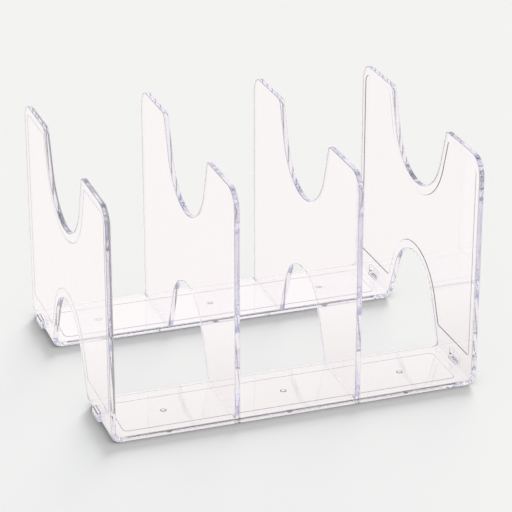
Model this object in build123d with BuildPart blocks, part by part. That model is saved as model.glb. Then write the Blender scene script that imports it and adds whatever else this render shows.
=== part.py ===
"""Desktop file sorter of clear moulded plastic: two end panels, two dividers and two base rails, bonded.

X runs across the bays, Y from front to back, Z up. The origin is at the middle of the footprint.
"""

import math
import os

from build123d import *

# Whole object
bay_count = 3
bay_pitch = 88.0  # from one panel's left face to the next
depth = 215.0
height = 171.0

# Panels
wall = 3.8
corner_radius = 14.0
notch_depth = 57.5
notch_half_mouth = 49.0
notch_bowl_radius = 42.0
lip_radius = 5.0
arch_height = 58.0
arch_crown_radius = 36.0

# Shallow field that leaves a border round the inner face of each end panel
panel_border = 6.5
panel_field_depth = 0.5
panel_field_lift = 15.7  # of its lower edge, above the rails
field_corner_radius = 2.0

# Base rails
rail_thickness = 3.8
rail_depth = 60.5
rail_border = 9.0
rail_end_border = 7.6  # from the end panels' inner faces
rail_field_depth = 0.5
rail_field_corner_radius = 4.0
gate_radius = 2.4
gate_depth = 0.7

# Joints between the pieces
heel_radius = 3.0  # inside the bend that joins an end panel to the rails
toe_length = 1.0  # flat past the bend, where the rails butt on
tab_length = 6.0  # divider tab that drops into the rail's outer edge
bond_gap = 0.05
tab_clearance = 0.06

# Links to a neighbouring sorter: slots on the right, pegs on the left
slot_length = 15.0
slot_height = 7.5
slot_lift = 0.7  # above the rails
peg_reach = 3.0
peg_clearance = 0.4
peg_nose_radius = 1.2

# Places worked out from the sizes above
overall_width = bay_count * bay_pitch + wall + peg_reach
left_face = peg_reach - overall_width / 2
right_face = left_face + bay_count * bay_pitch + wall
foot_half_gap = depth / 2 - rail_depth
leg_middle = (depth / 2 + foot_half_gap) / 2
slot_middle_height = rail_thickness + slot_lift + slot_height / 2
bend_reach = heel_radius + toe_length
rail_start = left_face + wall + bend_reach + bond_gap
rail_end = right_face - wall - bend_reach - bond_gap


def scoop_edges(half_mouth, mouth_height, crown_height, radius):
    """Outline of a round-ended scoop: a circle touching the crown height, and two tangent sides to the mouth."""
    away = math.copysign(1, mouth_height - crown_height)
    centre_height = crown_height + away * radius
    rise = abs(mouth_height - centre_height)
    swing = math.atan2(rise, half_mouth) - math.acos(radius / math.hypot(half_mouth, rise))
    touch = (radius * math.cos(swing), centre_height + away * radius * math.sin(swing))
    mirrored_touch = (-touch[0], touch[1])
    with BuildLine() as outline:
        ThreePointArc(mirrored_touch, (0, crown_height), touch)
        Polyline(touch, (half_mouth, mouth_height), (-half_mouth, mouth_height), mirrored_touch)
    return outline.edges()


def panel_outline(plane, inset=0.0, lowest=0.0):
    """A panel from the side, with round top corners, a notch and an arch.

    With an inset, only what is inside that border. With a lowest height, only what is above it.
    """
    with BuildSketch(plane) as outline:
        with Locations((0, height / 2)):
            Rectangle(depth, height)
        notch = scoop_edges(notch_half_mouth, height, height - notch_depth, notch_bowl_radius)
        make_face(notch, mode=Mode.SUBTRACT)
        arch = scoop_edges(foot_half_gap, rail_thickness, arch_height, arch_crown_radius)
        make_face(arch, mode=Mode.SUBTRACT)
        with Locations((0, rail_thickness / 2)):
            Rectangle(2 * foot_half_gap, rail_thickness, mode=Mode.SUBTRACT)
        top = outline.vertices().group_by(Axis.Y)[-1].sort_by(Axis.X)
        fillet([top[0], top[-1]], radius=corner_radius)
        top = outline.vertices().group_by(Axis.Y)[-1].sort_by(Axis.X)
        fillet([top[1], top[-2]], radius=lip_radius)
        if inset:
            offset(amount=-inset, mode=Mode.REPLACE)
        if lowest:
            with Locations((0, lowest / 2)):
                Rectangle(depth, lowest, mode=Mode.SUBTRACT)
            fillet(outline.vertices().group_by(Axis.Y)[0], radius=field_corner_radius)
    return outline.sketch


def bend_section(outer_face, inward):
    """An end panel's section: the wall, and the bend at its foot that turns inward to meet the rails."""
    inner_face = outer_face + inward * wall
    toe = inner_face + inward * bend_reach
    with BuildSketch(Plane.XZ.offset(-depth / 2)) as section:
        with BuildLine():
            Polyline((inner_face, height), (inner_face, rail_thickness), (toe, rail_thickness), (toe, 0))
            Polyline((toe, 0), (outer_face, 0), (outer_face, height), (inner_face, height))
        make_face()
        heel = min(section.vertices(), key=lambda v: abs(v.X - outer_face) + abs(v.Y))
        fillet(heel, radius=heel_radius + wall)
        crease = min(section.vertices(), key=lambda v: abs(v.X - inner_face) + abs(v.Y - rail_thickness))
        fillet(crease, radius=heel_radius)
    return section.sketch


def link_places(plane, clearance=0.0):
    """The two link rectangles, at the middle of each leg just above the rails, less a clearance all round."""
    with BuildSketch(plane) as places:
        with Locations((-leg_middle, slot_middle_height), (leg_middle, slot_middle_height)):
            Rectangle(slot_length - 2 * clearance, slot_height - 2 * clearance)
    return places.sketch


def build_end_panel(outer_face, inward):
    """An end panel without its link features: the bent section, cut to the outline, with a field inside."""
    inner_face = outer_face + inward * wall
    toe = inner_face + inward * bend_reach
    field_floor = rail_thickness + panel_field_lift
    with BuildPart() as panel:
        extrude(bend_section(outer_face, inward), amount=depth)
        outline = panel_outline(Plane.YZ.offset(min(outer_face, toe)))
        extrude(outline, amount=wall + bend_reach, mode=Mode.INTERSECT)
        field = panel_outline(Plane.YZ.offset(inner_face), inset=panel_border, lowest=field_floor)
        extrude(field, amount=-inward * panel_field_depth, mode=Mode.SUBTRACT)
    return panel


with BuildPart() as left_end_panel:
    add(build_end_panel(left_face, 1).part)
    extrude(link_places(Plane.YZ.offset(left_face), peg_clearance), amount=-peg_reach)
    peg_noses = left_end_panel.faces().sort_by(Axis.X)[:2].edges()
    fillet(peg_noses, radius=peg_nose_radius)
left_end_panel.part.label = "left_end_panel"

with BuildPart() as right_end_panel:
    add(build_end_panel(right_face, -1).part)
    extrude(link_places(Plane.YZ.offset(right_face)), amount=-(wall + heel_radius), mode=Mode.SUBTRACT)
right_end_panel.part.label = "right_end_panel"


def divider_face(bay):
    """Left face of the divider that closes this bay on its right."""
    return left_face + bay * bay_pitch


def build_divider(bay):
    """A plain divider that stands on both rails, with end tabs that drop into the rails' outer edges."""
    seat_height = rail_thickness + bond_gap
    seat_length = depth - 2 * (tab_length - tab_clearance)
    with BuildPart() as divider:
        extrude(panel_outline(Plane.YZ.offset(divider_face(bay))), amount=wall)
        with BuildSketch(Plane.YZ.offset(divider_face(bay))):
            with Locations((0, seat_height / 2)):
                Rectangle(seat_length, seat_height)
        extrude(amount=wall, mode=Mode.SUBTRACT)
    return divider


def build_rail(side):
    """A base rail, front (-1) or rear (1): notches for the dividers, a field and gate marks underneath."""
    middle = side * leg_middle
    sorter_middle = (left_face + right_face) / 2
    field_length = right_face - left_face - 2 * (wall + rail_end_border)
    with BuildPart() as rail:
        with BuildSketch(Plane.XY):
            with Locations((sorter_middle, middle)):
                Rectangle(rail_end - rail_start, rail_depth)
            for bay in range(1, bay_count):
                with Locations((divider_face(bay) + wall / 2, side * (depth - tab_length) / 2)):
                    Rectangle(wall + 2 * tab_clearance, tab_length, mode=Mode.SUBTRACT)
        extrude(amount=rail_thickness)
        with BuildSketch(Plane.XY):
            with Locations((sorter_middle, middle)):
                RectangleRounded(field_length, rail_depth - 2 * rail_border, rail_field_corner_radius)
        extrude(amount=rail_field_depth, mode=Mode.SUBTRACT)
        with BuildSketch(Plane.XY.offset(rail_field_depth)):
            for bay in range(bay_count):
                with Locations((left_face + bay * bay_pitch + (wall + bay_pitch) / 2, middle)):
                    Circle(gate_radius)
        extrude(amount=gate_depth, mode=Mode.SUBTRACT)
    return rail


left_divider = build_divider(1)
left_divider.part.label = "left_divider"
right_divider = build_divider(2)
right_divider.part.label = "right_divider"
front_base_rail = build_rail(-1)
front_base_rail.part.label = "front_base_rail"
rear_base_rail = build_rail(1)
rear_base_rail.part.label = "rear_base_rail"

os.makedirs("parts", exist_ok=True)
export_step(left_end_panel.part, "parts/left_end_panel.step")
export_step(right_end_panel.part, "parts/right_end_panel.step")
export_step(left_divider.part, "parts/left_divider.step")
export_step(right_divider.part, "parts/right_divider.step")
export_step(front_base_rail.part, "parts/front_base_rail.step")
export_step(rear_base_rail.part, "parts/rear_base_rail.step")
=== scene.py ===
"""A clear desktop file sorter: two base rails, two dividers and two end panels, on a pale floor."""

import math

import bmesh
import bpy
import numpy as np
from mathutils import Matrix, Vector
from mathutils.geometry import tessellate_polygon


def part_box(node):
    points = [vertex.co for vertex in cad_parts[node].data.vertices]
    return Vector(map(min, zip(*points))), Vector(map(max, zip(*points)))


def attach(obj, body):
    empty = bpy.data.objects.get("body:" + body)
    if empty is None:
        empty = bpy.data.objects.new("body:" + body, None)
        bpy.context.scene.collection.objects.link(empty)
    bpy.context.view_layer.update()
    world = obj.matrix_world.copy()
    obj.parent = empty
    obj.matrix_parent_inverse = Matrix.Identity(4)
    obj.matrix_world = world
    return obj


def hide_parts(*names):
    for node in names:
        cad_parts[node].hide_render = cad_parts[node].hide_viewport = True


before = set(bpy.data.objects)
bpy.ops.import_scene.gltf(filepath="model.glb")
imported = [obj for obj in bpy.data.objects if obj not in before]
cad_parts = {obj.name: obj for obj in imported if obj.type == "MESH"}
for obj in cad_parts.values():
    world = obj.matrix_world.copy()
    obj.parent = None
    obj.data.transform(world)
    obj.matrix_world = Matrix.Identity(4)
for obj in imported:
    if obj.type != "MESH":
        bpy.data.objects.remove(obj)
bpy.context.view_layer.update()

# Base rails
# Two flat bars of clear general-purpose polystyrene, injection moulded. Each lies across the whole sorter, with
# notches in its outer edge for the dividers. Its underside has a shallow field with a round gate mark in each bay.
MM = 0.001
EDGE = 0.42 * MM  # rounding that polishing leaves on a moulded edge
BUTT_EDGE = 0.02 * MM  # an edge that meets another piece stays sharp
SEAT_EDGE = EDGE / 4  # where the rail takes a divider
SHARP_LENGTH = 1.0 * MM  # over which an edge turns from sharp to round beside a butted wall
RAIL_BORDER = 9.0 * MM
RAIL_END_BORDER = 3.55 * MM
RAIL_FIELD_DEPTH = 0.5 * MM
RAIL_FIELD_CORNER = 4.0 * MM
GATE_RADIUS = 2.4 * MM
GATE_DEPTH = 0.7 * MM
GATE_SLOPE = 1.0 * MM  # width of the slope round a gate mark
NOTCH_CORNER = 0.2 * MM
TAB_LENGTH = 6.0 * MM
TAB_CLEARANCE = 0.06 * MM
STEP_WIDTH = 0.5 * MM  # of the slope round a field
EDGE_ROWS = 4  # rows of vertices round a quarter of a rim's rounding
SLOPE_ROWS = 7  # rows of vertices down a step
FLAT_LENGTH = 0.5 * MM  # spread of the points at a corner that doesn't turn
GATE_STEPS = 24
RAIL_STEPS = 4  # points round a corner of a rail
RAIL_LINE = 0.35  # how dark the painted shade on a rail's edges is drawn, from none to 1


def outline(corners, steps=10):
    """Closed outline through corners (u, v, radius, edge) given anticlockwise, as points, outward normals and edges.

    Each corner is an arc that touches both its sides: its centre is where the sides, both moved in by the radius,
    meet, and the arc's normals turn evenly from one side's normal to the other's. A corner in line with its
    neighbours is a short straight stretch.
    """
    corners = np.array(corners, float)
    place, radius = corners[:, :2], corners[:, 2]
    along = np.roll(place, -1, 0) - place
    along /= np.linalg.norm(along, axis=1)[:, None]
    after = np.stack([along[:, 1], -along[:, 0]], 1)
    before = np.roll(after, 1, 0)
    turn = np.arctan2(before[:, 0] * after[:, 1] - before[:, 1] * after[:, 0], (before * after).sum(1))
    side = np.where(turn < 0, -1.0, 1.0)
    share = np.linspace(0, 1, steps)
    angle = np.arctan2(before[:, 1], before[:, 0])[:, None] + turn[:, None] * share
    normal = np.stack([np.cos(angle), np.sin(angle)], -1)
    reach = (side * radius)[:, None]
    centre = place - reach * (before + after) / (1 + (before * after).sum(1))[:, None]
    points = centre[:, None] + reach[:, None] * normal
    spread = np.where(np.abs(turn) < 1e-6, FLAT_LENGTH, 0.0)
    points += (spread[:, None] * (share - 0.5))[:, :, None] * along[:, None]
    edge = np.repeat(corners[:, 3], steps)
    return points.reshape(-1, 2), normal.reshape(-1, 2), edge


def rows_round(ring, profile):
    """Carries a profile round a ring.

    The profile's rows are the inset, the height, and the outward and the upward part of the normal.
    """
    points, normals, _ = ring
    inset, height, outward, upward = (np.asarray(column) for column in profile)
    flat = points[None] - normals[None] * inset[..., None]
    place = np.concatenate([flat, np.broadcast_to(height[..., None], flat.shape[:2] + (1,))], -1)
    tilt = np.broadcast_to(outward[..., None] * normals[None], flat.shape)
    lift = np.broadcast_to(upward[..., None], flat.shape[:2] + (1,))
    return place, np.concatenate([tilt, lift], -1)


def rim_profile(edge, thickness):
    """A plate's rim, from its upper face to its lower one: a quarter round, a straight wall and a quarter round."""
    upper = np.linspace(0, math.pi / 2, EDGE_ROWS)[:, None]
    angle = np.concatenate([upper, upper + math.pi / 2])
    base = np.concatenate([thickness - edge + 0 * upper, edge + 0 * upper])
    return edge * (1 - np.sin(angle)), base + edge * np.cos(angle), np.sin(angle), np.cos(angle)


def butt_wall(ring, axis):
    """Marks the wall of a rim where it is butted: its sharp edge is BUTT_EDGE and its normal lies along the axis."""
    butted = (ring[2] == BUTT_EDGE) & (np.abs(ring[1][:, axis]) > 0.99)
    row = np.arange(2 * EDGE_ROWS)[:, None]
    return butted & (row >= EDGE_ROWS - 1) & (row <= EDGE_ROWS)


def step_profile(depth, top, width):
    """A smooth step down from the top face: the height falls by the depth as a raised cosine of the way across."""
    across = np.linspace(0, 1, SLOPE_ROWS)[:, None]
    fall = depth * (1 - np.cos(math.pi * across)) / 2
    slope = depth * math.pi * np.sin(math.pi * across) / (2 * width)
    length = np.hypot(1, slope)
    return width * across, top - fall, -slope / length, 1 / length


def slope_line():
    """Marks the steep rows of a step for a painted dark line, painted shade where they bend light out of sight."""
    return np.sin(np.linspace(0, math.pi, SLOPE_ROWS))[:, None]


def rim_line():
    """Marks the rounded edges of a rim for painted shade in the same way: none on the flats, most half way round
    each quarter.
    """
    return np.tile(np.sin(np.linspace(0, math.pi, EDGE_ROWS)), 2)[:, None]


class Plate:
    """Collects rings of rows and flat fills in flat coordinates (u, v, w), and makes them one closed mesh."""

    def __init__(self):
        self.places, self.normals, self.bonds, self.lines, self.faces, self.count = [], [], [], [], [], 0

    def strip(self, rows, bonded=False, lines=0.0):
        """Adds a closed strip of quads between neighbouring rows, and returns each row's vertex numbers."""
        place, normal = rows
        height, width = place.shape[:2]
        number = self.count + np.arange(height * width).reshape(height, width)
        self.places.append(place.reshape(-1, 3))
        self.normals.append(normal.reshape(-1, 3))
        self.bonds.append(np.broadcast_to(bonded, (height, width)).ravel().astype(float))
        self.lines.append(np.broadcast_to(lines, (height, width)).ravel().astype(float))
        self.count += height * width
        following = np.roll(number, -1, 1)
        quads = np.stack([number[:-1], number[1:], following[1:], following[:-1]], -1)
        self.faces += quads.reshape(-1, 4).tolist()
        return number

    def fill(self, *rings):
        """Fills the flat region inside the first ring and outside the others with triangles."""
        places = np.concatenate(self.places)
        number = np.concatenate(rings)
        loops = [[Vector((*places[n][:2], 0)) for n in ring] for ring in rings]
        triangles = np.array(tessellate_polygon(loops))
        self.faces += number[triangles].tolist()


def make_piece(name, plate, to_frame, node, creases=(), bend=None):
    """Turns a plate into an object in the frame, with its exact surface normals, in place of its CAD node.

    The plate is first cut across at the crease heights, so that it can bend there.
    """
    mesh = bpy.data.meshes.new(name)
    mesh.from_pydata(np.concatenate(plate.places), [], plate.faces)
    shade = mesh.attributes.new("shade", "FLOAT_VECTOR", "POINT")
    shade.data.foreach_set("vector", np.concatenate(plate.normals).ravel())
    for attribute, values in (("bond", plate.bonds), ("line", plate.lines)):
        mesh.attributes.new(attribute, "FLOAT", "POINT").data.foreach_set("value", np.concatenate(values))
    solid = bmesh.new()
    solid.from_mesh(mesh)
    for level in creases:
        geometry = solid.verts[:] + solid.edges[:] + solid.faces[:]
        bmesh.ops.bisect_plane(solid, geom=geometry, plane_co=(0, level, 0), plane_no=(0, 1, 0), dist=1e-7)
    solid.to_mesh(mesh)
    place = np.empty(len(mesh.vertices) * 3, np.float32)
    normal = np.empty_like(place)
    mesh.vertices.foreach_get("co", place)
    mesh.attributes["shade"].data.foreach_get("vector", normal)
    place, normal = place.reshape(-1, 3), normal.reshape(-1, 3)
    if bend:
        place, normal = bend(place, normal)
    turn, shift = np.array(to_frame[0], float), np.array(to_frame[1], float)
    place, normal = place @ turn.T + shift, normal @ turn.T
    mesh.vertices.foreach_set("co", place.astype(np.float32).ravel())
    mesh.update()
    solid.free()
    solid = bmesh.new()
    solid.from_mesh(mesh)
    bmesh.ops.recalc_face_normals(solid, faces=solid.faces)
    if solid.calc_volume(signed=True) < 0:
        bmesh.ops.reverse_faces(solid, faces=solid.faces)
    loose = sum(not edge.is_manifold for edge in solid.edges)
    if loose:
        print("OPEN EDGES", name, loose)
    solid.to_mesh(mesh)
    solid.free()
    mesh.attributes.remove(mesh.attributes["shade"])
    mesh.polygons.foreach_set("use_smooth", np.ones(len(mesh.polygons), bool))
    length = np.linalg.norm(normal, axis=1)[:, None]
    mesh.normals_split_custom_set_from_vertices(normal / length)
    piece = bpy.data.objects.new(name, mesh)
    bpy.context.scene.collection.objects.link(piece)
    piece.data.materials.append(clear_polystyrene)
    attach(piece, "root")
    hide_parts(node)
    return piece


def to_linear(hex_colour):
    """An sRGB hex colour as linear red, green, blue and alpha."""
    channels = [int(hex_colour[i : i + 2], 16) / 255 for i in (1, 3, 5)]
    return [c / 12.92 if c <= 0.04045 else ((c + 0.055) / 1.055) ** 2.4 for c in channels] + [1.0]


def add_node(tree, kind, inputs=None, **settings):
    """Adds a node, sets its properties, and gives each input a value or a link from an output socket."""
    node = tree.nodes.new(kind)
    for key, value in settings.items():
        setattr(node, key, value)
    for key, value in (inputs or {}).items():
        if isinstance(value, bpy.types.NodeSocket):
            tree.links.new(value, node.inputs[key])
        else:
            node.inputs[key].default_value = value
    return node


# General-purpose polystyrene, injection moulded in a polished tool. To the eye it is glassy faces with a faint bloom
# and gentle waves where it shrank, and a violet-blue toner that only shows along the sheet, where light travels far
# inside it. Steps and rims carry a painted dark line, painted shade for the light they bend out of sight. Where two
# pieces are bonded the joint is clear, so their butted faces don't bend light. Lamps shine through it, and only the
# low parts, the rails and feet, cast a shadow.
BLOOM_SIZE = 60 * MM  # broad patches, so that a face is not one even tint
SCUFF_SIZE = 1.5 * MM  # coarser than real scuffs, which are too fine to show, so that highlights break up a little
WAVE_SIZE = 28 * MM
WAVE_STRENGTH = 0.12
WAVE_DEPTH = 0.4 * MM
CLEAR_IOR = 1.57
CLEARNESS = 0.955  # the rest is white haze on the outer faces, which lifts them from the floor behind
LINE_CLEARNESS = 0.1  # what a full painted shade line lets through
TONER_DENSITY = 1.15
SHADOW_LEVEL = 3.9 * MM  # below it the plastic casts its full shadow, and above the next it casts almost none
CLEAR_LEVEL = 5.5 * MM
clear_polystyrene = bpy.data.materials.new("clear_polystyrene")
clear_polystyrene.use_nodes = True
tree = clear_polystyrene.node_tree
tree.nodes.clear()
where = add_node(tree, "ShaderNodeTexCoord").outputs["Object"]
bloom = add_node(tree, "ShaderNodeTexNoise", {"Vector": where, "Scale": 1 / BLOOM_SIZE, "Detail": 3.0})
tint = add_node(
    tree,
    "ShaderNodeMix",
    {"Factor": bloom.outputs["Fac"], "A": to_linear("#FFFBFB"), "B": to_linear("#FEFCFE")},
    data_type="RGBA",
)
# The line attribute paints shade: it darkens the colour and clouds the clearness where rims and steps bend light out
# of sight.
painted_line_shade = add_node(tree, "ShaderNodeAttribute", attribute_name="line").outputs["Fac"]
line_shaded_colour = add_node(
    tree,
    "ShaderNodeMix",
    {"Factor": painted_line_shade, "A": tint.outputs[2], "B": to_linear("#33343F")},
    data_type="RGBA",
)
inside = add_node(tree, "ShaderNodeNewGeometry").outputs["Backfacing"]
haze_free = add_node(tree, "ShaderNodeMapRange", {"Value": inside, "To Min": CLEARNESS, "To Max": 1.0})
clearness = add_node(
    tree,
    "ShaderNodeMapRange",
    {"Value": painted_line_shade, "To Min": haze_free.outputs["Result"], "To Max": LINE_CLEARNESS},
)
scuffs = add_node(tree, "ShaderNodeTexNoise", {"Vector": where, "Scale": 1 / SCUFF_SIZE, "Detail": 4.0})
polish = add_node(
    tree,
    "ShaderNodeMapRange",
    {"Value": scuffs.outputs["Fac"], "From Min": 0.35, "From Max": 0.8, "To Min": 0.01, "To Max": 0.05},
)
waves = add_node(tree, "ShaderNodeTexNoise", {"Vector": where, "Scale": 1 / WAVE_SIZE, "Detail": 1.0})
shrink = add_node(
    tree,
    "ShaderNodeBump",
    {"Height": waves.outputs["Fac"], "Strength": WAVE_STRENGTH, "Distance": WAVE_DEPTH},
)
plastic = add_node(
    tree,
    "ShaderNodeBsdfPrincipled",
    {
        "Base Color": line_shaded_colour.outputs[2],
        "Roughness": polish.outputs["Result"],
        "IOR": CLEAR_IOR,
        "Transmission Weight": clearness.outputs["Result"],
        "Normal": shrink.outputs["Normal"],
    },
)
height_up = add_node(tree, "ShaderNodeSeparateXYZ", {"Vector": where}).outputs["Z"]
above_rails = add_node(
    tree, "ShaderNodeMapRange", {"Value": height_up, "From Min": SHADOW_LEVEL, "From Max": CLEAR_LEVEL}
)
shade_tint = add_node(
    tree,
    "ShaderNodeMix",
    {"Factor": above_rails.outputs["Result"], "A": to_linear("#707074"), "B": to_linear("#FCFCFD")},
    data_type="RGBA",
)
through = add_node(tree, "ShaderNodeBsdfTransparent", {"Color": shade_tint.outputs[2]})
clear_joint = add_node(tree, "ShaderNodeBsdfTransparent")
path = add_node(tree, "ShaderNodeLightPath")
lit = add_node(
    tree,
    "ShaderNodeMath",
    {0: path.outputs["Is Shadow Ray"], 1: path.outputs["Is Diffuse Ray"]},
    operation="MAXIMUM",
)
bonded = add_node(tree, "ShaderNodeAttribute", attribute_name="bond")
face = add_node(
    tree,
    "ShaderNodeMixShader",
    {0: lit.outputs[0], 1: plastic.outputs["BSDF"], 2: through.outputs["BSDF"]},
)
surface = add_node(
    tree,
    "ShaderNodeMixShader",
    {0: bonded.outputs["Fac"], 1: face.outputs["Shader"], 2: clear_joint.outputs["BSDF"]},
)
toner = add_node(
    tree, "ShaderNodeVolumeAbsorption", {"Color": to_linear("#908CE8"), "Density": TONER_DENSITY}
)
add_node(
    tree,
    "ShaderNodeOutputMaterial",
    {"Surface": surface.outputs["Shader"], "Volume": toner.outputs["Volume"]},
)

rail_low, rail_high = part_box("front_base_rail")
rail_thickness = rail_high.z - rail_low.z
rail_depth = rail_high.y - rail_low.y
sorter_depth = -2 * rail_low.y
divider_boxes = [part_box(name) for name in ("left_divider", "right_divider")]
wall = divider_boxes[0][1].x - divider_boxes[0][0].x
bay_pitch = divider_boxes[1][0].x - divider_boxes[0][0].x
bay_middles = [divider_boxes[0][0].x + (bay + 0.5) * bay_pitch + wall / 2 for bay in (-1, 0, 1)]


def rail_plate():
    """A rail seen from below: u is X, v runs from the outer edge inward, and w is the depth below its top face."""
    corners = [(rail_low.x, 0, NOTCH_CORNER, BUTT_EDGE)]
    corners.append((rail_low.x + SHARP_LENGTH, 0, 0, EDGE))
    for low, high in divider_boxes:
        left, right = low.x - TAB_CLEARANCE, high.x + TAB_CLEARANCE
        corners += [(left, 0, NOTCH_CORNER, SEAT_EDGE), (left, TAB_LENGTH, NOTCH_CORNER, SEAT_EDGE)]
        corners += [(right, TAB_LENGTH, NOTCH_CORNER, SEAT_EDGE), (right, 0, NOTCH_CORNER, SEAT_EDGE)]
    corners += [(rail_high.x - SHARP_LENGTH, 0, 0, EDGE), (rail_high.x, 0, NOTCH_CORNER, BUTT_EDGE)]
    corners += [(rail_high.x, rail_depth, NOTCH_CORNER, BUTT_EDGE)]
    corners.append((rail_high.x - SHARP_LENGTH, rail_depth, 0, EDGE))
    corners.append((rail_low.x + SHARP_LENGTH, rail_depth, 0, EDGE))
    corners += [(rail_low.x, rail_depth, NOTCH_CORNER, BUTT_EDGE)]
    border = outline(corners, RAIL_STEPS)
    left, right = rail_low.x + RAIL_END_BORDER, rail_high.x - RAIL_END_BORDER
    near, far = RAIL_BORDER, rail_depth - RAIL_BORDER
    ends = (left, near), (right, near), (right, far), (left, far)
    field = outline([(u, v, RAIL_FIELD_CORNER, 0) for u, v in ends])
    plate = Plate()
    wall_rows = rows_round(border, rim_profile(border[2], rail_thickness))
    rim = plate.strip(wall_rows, butt_wall(border, 0), RAIL_LINE * rim_line())
    step_rows = rows_round(field, step_profile(RAIL_FIELD_DEPTH, rail_thickness, STEP_WIDTH))
    step = plate.strip(step_rows, lines=slope_line())
    dishes = []
    turn = np.linspace(0, 2 * math.pi, GATE_STEPS, endpoint=False)
    around = np.stack([np.cos(turn), np.sin(turn)], 1)
    for place in bay_middles:
        circle = around * GATE_RADIUS + (place, rail_depth / 2), around, turn
        dish = step_profile(GATE_DEPTH, rail_thickness - RAIL_FIELD_DEPTH, GATE_SLOPE)
        dishes.append(plate.strip(rows_round(circle, dish), lines=slope_line()))
        plate.fill(dishes[-1][-1])
    plate.fill(rim[0], step[0])
    plate.fill(step[-1], *[dish[0] for dish in dishes])
    plate.fill(rim[-1])
    return plate


# The front rail lies underside down, its notches to the front. The rear rail is the same moulding, mirrored front to
# back, so its notches face the rear.
rail = rail_plate()
for side, inward in (("front", 1), ("rear", -1)):
    turn_over = ((1, 0, 0), (0, inward, 0), (0, 0, -1))
    place = (0, inward * rail_low.y, rail_thickness)
    make_piece(f"{side}_rail_moulding", rail, (turn_over, place), f"{side}_base_rail")

# Dividers
# Two plain clear sheets of the panels' shape, moulded with a finger notch above and an arch below. Each stands on
# both rails, and the tabs at its ends drop into the rails' notches.
_, panel_high = divider_boxes[0]
panel_height = panel_high.z
half_depth = sorter_depth / 2
CORNER_RADIUS = 14.0 * MM
LIP_RADIUS = 5.0 * MM
NOTCH_DEPTH = 57.5 * MM
NOTCH_HALF_MOUTH = 49.0 * MM
NOTCH_BOWL = 42.0 * MM
ARCH_HEIGHT = 58.0 * MM
ARCH_CROWN = 36.0 * MM
FOOT_CORNER = 0.7 * MM
PANEL_EDGE = 0.55 * MM
PANEL_STEPS = 24  # points round a corner of a panel
TAB_EDGE = EDGE / 3
FAINT_LINE = 0.2  # how dark a rim's painted shade is drawn where it faces up or forward
BOND_GAP = 0.05 * MM


def scoop_sides(half_mouth, mouth, crown, radius):
    """A scoop's sides from its mouth: how much v they fall for each unit of u, and the v where the two would meet.

    The sides touch a circle that touches the crown. The side's angle is that of the line from the mouth to the
    circle's centre, less the angle whose cosine is the radius over that line's length.
    """
    away = math.copysign(1, mouth - crown)
    rise = abs(mouth - crown - away * radius)
    swing = math.atan2(rise, half_mouth) - math.acos(radius / math.hypot(half_mouth, rise))
    meeting = crown + away * radius - away * radius / math.sin(-swing)
    return (mouth - meeting) / half_mouth, meeting


def panel_top(edge):
    """Corners of a panel's top, from the rear to the front: round corner, lip, notch bowl, lip, round corner."""
    _, bowl_point = scoop_sides(NOTCH_HALF_MOUTH, panel_height, panel_height - NOTCH_DEPTH, NOTCH_BOWL)
    return [
        (half_depth, panel_height, CORNER_RADIUS, edge),
        (NOTCH_HALF_MOUTH, panel_height, LIP_RADIUS, edge),
        (0, bowl_point, NOTCH_BOWL, edge),
        (-NOTCH_HALF_MOUTH, panel_height, LIP_RADIUS, edge),
        (-half_depth, panel_height, CORNER_RADIUS, edge),
    ]


half_gap = half_depth - rail_depth
arch_fall, arch_point = scoop_sides(half_gap, rail_thickness, ARCH_HEIGHT, ARCH_CROWN)


def lean(ring, least):
    """Weighs a painted shade line round a ring: full where the wall faces the rear, least where it faces up or
    forward.
    """
    return least + (1 - least) * np.maximum(ring[1][:, 0], 0)


def divider_plate():
    """A divider from the right: u is Y, v is Z and w runs to the right."""
    seat = rail_thickness + BOND_GAP
    tab = half_depth - TAB_LENGTH + TAB_CLEARANCE
    foot = half_gap + (seat - rail_thickness) / arch_fall
    corners = panel_top(PANEL_EDGE)
    corners += [(-half_depth, 0, FOOT_CORNER, PANEL_EDGE), (-tab, 0, FOOT_CORNER, PANEL_EDGE)]
    corners += [(-tab, seat, NOTCH_CORNER, TAB_EDGE), (-foot, seat, NOTCH_CORNER, TAB_EDGE)]
    corners += [(0, arch_point, ARCH_CROWN, PANEL_EDGE), (foot, seat, NOTCH_CORNER, TAB_EDGE)]
    corners += [(tab, seat, NOTCH_CORNER, TAB_EDGE), (tab, 0, FOOT_CORNER, PANEL_EDGE)]
    corners += [(half_depth, 0, FOOT_CORNER, PANEL_EDGE)]
    border = outline(corners, PANEL_STEPS)
    plate = Plate()
    wall_rows = rows_round(border, rim_profile(border[2], wall))
    rim = plate.strip(wall_rows, lines=rim_line() * lean(border, FAINT_LINE))
    plate.fill(rim[0])
    plate.fill(rim[-1])
    return plate


divider = divider_plate()
upright = ((0, 0, 1), (1, 0, 0), (0, 1, 0))
for side, (low, high) in zip(("left", "right"), divider_boxes):
    make_piece(f"{side}_divider_moulding", divider, (upright, (low.x, 0, 0)), f"{side}_divider")

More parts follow.
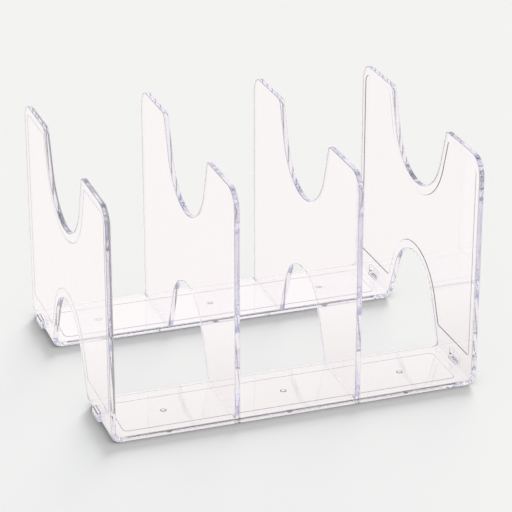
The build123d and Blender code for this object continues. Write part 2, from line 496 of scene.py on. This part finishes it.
# End panels
# The same sheet moulded with a shallow field inside a border on its inner face. Its feet turn inward in a round bend
# and are bonded edge to edge to the rails. The right one has a link slot in each leg, and the left one a link peg.
PANEL_BORDER = 6.5 * MM
PANEL_FIELD_DEPTH = 0.5 * MM
PANEL_FIELD_LIFT = 15.7 * MM
FIELD_CORNER = 2.0 * MM
FRONT_LINE_WIDTH = 1.3 * MM
FRONT_LINE = 0.6  # how dark its painted shade is drawn
UPRIGHT_POWER = 12  # of the outward normal, which keeps it to the upright part of the outline
FRONT_LINE_START = 0.1 * MM  # over which the front line darkens
HEEL_RADIUS = 3.0 * MM
TOE_LENGTH = 1.0 * MM
SLOT_LENGTH = 15.0 * MM
SLOT_HEIGHT = 7.5 * MM
SLOT_LIFT = 0.7 * MM
SLOT_CORNER = 0.4 * MM
SLOT_EDGE = 0.2 * MM
PEG_REACH = 3.0 * MM
PEG_CLEARANCE = 0.4 * MM
PEG_NOSE = 1.2 * MM
PEG_CORNER = 1.3 * MM
PEG_ROOT = 0.15 * MM
PEG_ROWS = 6
SLOT_STEPS = 6
FOLDS = 13  # creases across a bend
bend_height = wall + HEEL_RADIUS
bend_middle = HEEL_RADIUS + wall / 2
bend_end = bend_height - bend_middle * math.pi / 2
toe_end = bend_end - TOE_LENGTH
leg_middle = (half_depth + half_gap) / 2
slot_middle = rail_thickness + SLOT_LIFT + SLOT_HEIGHT / 2
creases = np.linspace(bend_end, bend_height, FOLDS)


def bend_foot(place, normal):
    """Bends a flat panel's foot inward. Flat places are (Y, length up the sheet, depth below its outer face).

    The sheet turns about a line one heel radius inside its inner face: a point turns by the length below the bend's
    start over the bend's middle radius, on a circle of its own depth, and past a quarter turn it lies flat.
    """
    sheet = place[:, 1]
    turn = np.clip((bend_height - sheet) / bend_middle, 0, math.pi / 2)
    radius = bend_height - place[:, 2]
    rise, run = np.maximum(sheet - bend_height, 0), np.maximum(bend_end - sheet, 0)
    inward = bend_height - radius * np.cos(turn) + run
    height = bend_height - radius * np.sin(turn) + rise
    tilt = normal[:, 2] * np.cos(turn) - normal[:, 1] * np.sin(turn)
    lift = normal[:, 2] * np.sin(turn) + normal[:, 1] * np.cos(turn)
    return np.stack([inward, place[:, 0], height], 1), np.stack([tilt, normal[:, 0], lift], 1)


def keep_level(rows):
    """Moves rows on the flat panel so that the bend brings each point back to the height it has now."""
    place, normal = rows[0].copy(), rows[1].copy()
    sine = np.clip((bend_height - place[..., 1]) / (bend_height - place[..., 2]), 0, 1)
    turn = np.arcsin(sine)
    place[..., 1] = np.where(sine > 0, bend_height - bend_middle * turn, place[..., 1])
    normal[..., 2] += normal[..., 1] * np.sin(turn)
    normal[..., 1] *= np.cos(turn)
    return place, normal


def block(middle, length, height, corner, edge, clockwise=False):
    """Outline of a rectangle with rounded corners, which is a hole if it is given clockwise."""
    across, up = length / 2, height / 2
    corners = [(middle - across, slot_middle - up), (middle + across, slot_middle - up)]
    corners += [(middle + across, slot_middle + up), (middle - across, slot_middle + up)]
    return outline([(u, v, corner, edge) for u, v in (corners[::-1] if clockwise else corners)], SLOT_STEPS)


def field_outline():
    """The field's outline in each panel: the panel's own outline moved in by the border, above a level floor."""
    floor_height = rail_thickness + PANEL_FIELD_LIFT
    notch_slope, notch_point = scoop_sides(NOTCH_HALF_MOUTH, panel_height, panel_height - NOTCH_DEPTH, NOTCH_BOWL)
    notch_point -= PANEL_BORDER * math.hypot(1, notch_slope)
    top = panel_height - PANEL_BORDER
    mouth = (top - notch_point) / notch_slope
    inner_point = arch_point + PANEL_BORDER * math.hypot(1, arch_fall)
    foot = (floor_height - inner_point) / arch_fall
    side = half_depth - PANEL_BORDER
    return outline(
        [
            (side, top, CORNER_RADIUS - PANEL_BORDER, 0),
            (mouth, top, MM, 0),
            (0, notch_point, NOTCH_BOWL + PANEL_BORDER, 0),
            (-mouth, top, MM, 0),
            (-side, top, CORNER_RADIUS - PANEL_BORDER, 0),
            (-side, floor_height, FIELD_CORNER, 0),
            (-foot, floor_height, FIELD_CORNER, 0),
            (0, inner_point, ARCH_CROWN + PANEL_BORDER, 0),
            (foot, floor_height, FIELD_CORNER, 0),
            (side, floor_height, FIELD_CORNER, 0),
        ],
        PANEL_STEPS,
    )


def end_panel_plate(linked_by):
    """An end panel flat, before its feet are bent.

    Here u is Y, v runs up the sheet and w is the depth below its outer face. A band of flat border outside the
    field's front side carries a painted dark line too, painted shade for that side of the step, which is turned from
    view and shows only as light lost in the border.
    """
    corners = panel_top(PANEL_EDGE)
    for away, order in ((-1, 1), (1, -1)):
        leg = [
            (away * half_depth, toe_end + SHARP_LENGTH, 0, PANEL_EDGE),
            (away * half_depth, toe_end, NOTCH_CORNER, BUTT_EDGE),
            (away * half_gap, toe_end, NOTCH_CORNER, BUTT_EDGE),
            (away * half_gap, toe_end + SHARP_LENGTH, 0, PANEL_EDGE),
            (away * half_gap, rail_thickness, FOOT_CORNER, PANEL_EDGE),
        ]
        corners += leg[::order]
        if away < 0:
            corners.append((0, arch_point, ARCH_CROWN, PANEL_EDGE))
    border = outline(corners, PANEL_STEPS)
    plate = Plate()
    wall_rows = rows_round(border, rim_profile(border[2], wall))
    rim = plate.strip(wall_rows, butt_wall(border, 1), rim_line() * lean(border, FAINT_LINE))
    hollow = field_outline()
    inset, *fall = step_profile(PANEL_FIELD_DEPTH, wall, STEP_WIDTH)
    band = [[-FRONT_LINE_WIDTH], [FRONT_LINE_START - FRONT_LINE_WIDTH]]
    flat = band, [[wall]] * 2, [[0.0]] * 2, [[1.0]] * 2
    profile = [np.concatenate(pair) for pair in zip(flat, (inset, *fall))]
    front = FRONT_LINE * np.maximum(-hollow[1][:, 0], 0) ** UPRIGHT_POWER
    fading = np.linspace(1, 0, SLOPE_ROWS)[:, None]
    marks = np.concatenate([0 * front[None], front[None], np.maximum(front * fading, slope_line())])
    step = plate.strip(rows_round(hollow, profile), lines=marks)
    inner, outer = [rim[0], step[0]], [rim[-1]]
    for middle in (-leg_middle, leg_middle):
        if linked_by == "slots":
            hole = block(middle, SLOT_LENGTH, SLOT_HEIGHT, SLOT_CORNER, SLOT_EDGE, clockwise=True)
            slot = plate.strip(keep_level(rows_round(hole, rim_profile(hole[2], wall))), lines=rim_line())
            inner.append(slot[0])
            outer.append(slot[-1])
        else:
            length, height = SLOT_LENGTH - 2 * PEG_CLEARANCE, SLOT_HEIGHT - 2 * PEG_CLEARANCE
            foot = block(middle, length, height, PEG_CORNER, 0)
            quarter = np.linspace(0, math.pi / 2, PEG_ROWS)[:, None]
            inset = np.concatenate([PEG_ROOT * (np.sin(quarter) - 1), PEG_NOSE * (1 - np.cos(quarter))])
            nose_level = PEG_NOSE * (1 - np.sin(quarter)) - PEG_REACH
            level = np.concatenate([PEG_ROOT * (np.cos(quarter) - 1), nose_level])
            outward = np.concatenate([np.sin(quarter), np.cos(quarter)])
            upward = -np.concatenate([np.cos(quarter), np.sin(quarter)])
            peg = plate.strip(keep_level(rows_round(foot, (inset, level, outward, upward))))
            plate.fill(peg[-1])
            outer.append(peg[0])
    plate.fill(*inner)
    plate.fill(step[-1])
    plate.fill(*outer)
    return plate


left_low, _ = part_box("left_end_panel")
_, right_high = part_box("right_end_panel")
left_face = left_low.x + PEG_REACH
for side, face, inward, linked_by in (("left", left_face, 1, "pegs"), ("right", right_high.x, -1, "slots")):
    make_piece(
        f"{side}_end_panel_moulding",
        end_panel_plate(linked_by),
        (((inward, 0, 0), (0, 1, 0), (0, 0, 1)), (face, 0, 0)),
        f"{side}_end_panel",
        creases,
        bend_foot,
    )

# Stage: a pale floor that is also a light table. Beside the plastic it is plain and takes the shadow. Every ray that
# has met the plastic sees it glow white, a little less toward the front, as a clear sheet on a lit table does.
FLOOR_REACH = 60.0  # metres, past the horizon of a low view
FLOOR_DROP = 0.02 * MM  # keeps the floor clear of the undersides
GLOW_FRONT = -110 * MM
GLOW_REAR = 40 * MM
sides = ((-1, -1), (1, -1), (1, 1), (-1, 1))
corners = [(x * FLOOR_REACH, y * FLOOR_REACH, -FLOOR_DROP) for x, y in sides]
floor_mesh = bpy.data.meshes.new("floor")
floor_mesh.from_pydata(corners, [], [(0, 1, 2, 3)])
floor = bpy.data.objects.new("floor", floor_mesh)
bpy.context.scene.collection.objects.link(floor)
pale = bpy.data.materials.new("light_table")
pale.use_nodes = True
pale_tree = pale.node_tree
pale_tree.nodes.clear()
paper = add_node(pale_tree, "ShaderNodeBsdfDiffuse", {"Color": to_linear("#C7C7C5")})
table_place = add_node(pale_tree, "ShaderNodeTexCoord").outputs["Object"]
table_depth = add_node(pale_tree, "ShaderNodeSeparateXYZ", {"Vector": table_place}).outputs["Y"]
toward_rear = add_node(
    pale_tree, "ShaderNodeMapRange", {"Value": table_depth, "From Min": GLOW_FRONT, "From Max": GLOW_REAR}
)
lamp_tint = add_node(
    pale_tree,
    "ShaderNodeMix",
    {"Factor": toward_rear.outputs["Result"], "A": to_linear("#EDEAE8"), "B": to_linear("#FBF9F8")},
    data_type="RGBA",
)
glow = add_node(pale_tree, "ShaderNodeEmission", {"Color": lamp_tint.outputs[2], "Strength": 1.0})
beside = add_node(pale_tree, "ShaderNodeLightPath").outputs["Is Camera Ray"]
table = add_node(pale_tree, "ShaderNodeMixShader", {0: beside, 1: glow.outputs[0], 2: paper.outputs[0]})
add_node(pale_tree, "ShaderNodeOutputMaterial", {"Surface": table.outputs[0]})
floor_mesh.materials.append(pale)

# Light: a white tent, bright overhead and dimmer low down so that clear edges show, with a plain backdrop where the
# camera sees it straight, and a low soft key from the rear right that draws the rails' shadow to the front.
TENT_STRENGTH = 1.02
KEY_ANGLE = 24
KEY_ENERGY = 16.5
KEY_DIRECTION = (-0.5, -0.86, -0.105)
studio = bpy.data.worlds.new("studio")
studio.use_nodes = True
sky = studio.node_tree
direction = add_node(sky, "ShaderNodeTexCoord").outputs["Generated"]
above = add_node(sky, "ShaderNodeSeparateXYZ", {"Vector": direction}).outputs["Z"]
tent = add_node(sky, "ShaderNodeValToRGB", {"Fac": above})
tent.color_ramp.elements[0].position = 0.1
tent.color_ramp.elements[0].color = to_linear("#B4B9D4")
tent.color_ramp.elements[1].position = 0.45
tent.color_ramp.elements[1].color = to_linear("#FFFFFF")
seen = add_node(sky, "ShaderNodeLightPath").outputs["Is Camera Ray"]
backdrop = add_node(
    sky,
    "ShaderNodeMix",
    {"Factor": seen, "A": tent.outputs["Color"], "B": to_linear("#F0F0F0")},
    data_type="RGBA",
)
sky.links.new(backdrop.outputs[2], sky.nodes["Background"].inputs["Color"])
sky.nodes["Background"].inputs["Strength"].default_value = TENT_STRENGTH
bpy.context.scene.world = studio

key = bpy.data.lights.new("key", "SUN")
key.angle = math.radians(KEY_ANGLE)
key.energy = KEY_ENERGY
key_holder = bpy.data.objects.new("key", key)
key_holder.rotation_euler = Vector(KEY_DIRECTION).to_track_quat("-Z", "Y").to_euler()
# The key only draws the shadow and lights the haze: it is not mirrored in the plastic or seen through it.
key_holder.visible_glossy = False
key_holder.visible_transmission = False
bpy.context.scene.collection.objects.link(key_holder)

# Camera: a long lens from the front left, looking down.
camera_data = bpy.data.cameras.new("camera")
camera_data.lens = 159.0
camera = bpy.data.objects.new("camera", camera_data)
turned, down, distance = math.radians(19.28), math.radians(23.94), 1.6174
aim = Vector((0.0056, -0.0076, 0.0762))
look = Vector((math.sin(turned) * math.cos(down), math.cos(turned) * math.cos(down), -math.sin(down)))
camera.location = aim - look * distance
camera.rotation_euler = look.to_track_quat("-Z", "Y").to_euler()
bpy.context.scene.collection.objects.link(camera)
bpy.context.scene.camera = camera
bpy.context.scene.view_settings.view_transform = "Standard"
# Light turns back and forth many times inside a sheet, and each turn there counts as a glossy bounce.
bpy.context.scene.cycles.max_bounces = 64
bpy.context.scene.cycles.transmission_bounces = 48
bpy.context.scene.cycles.glossy_bounces = 64
bpy.context.scene.cycles.transparent_max_bounces = 32
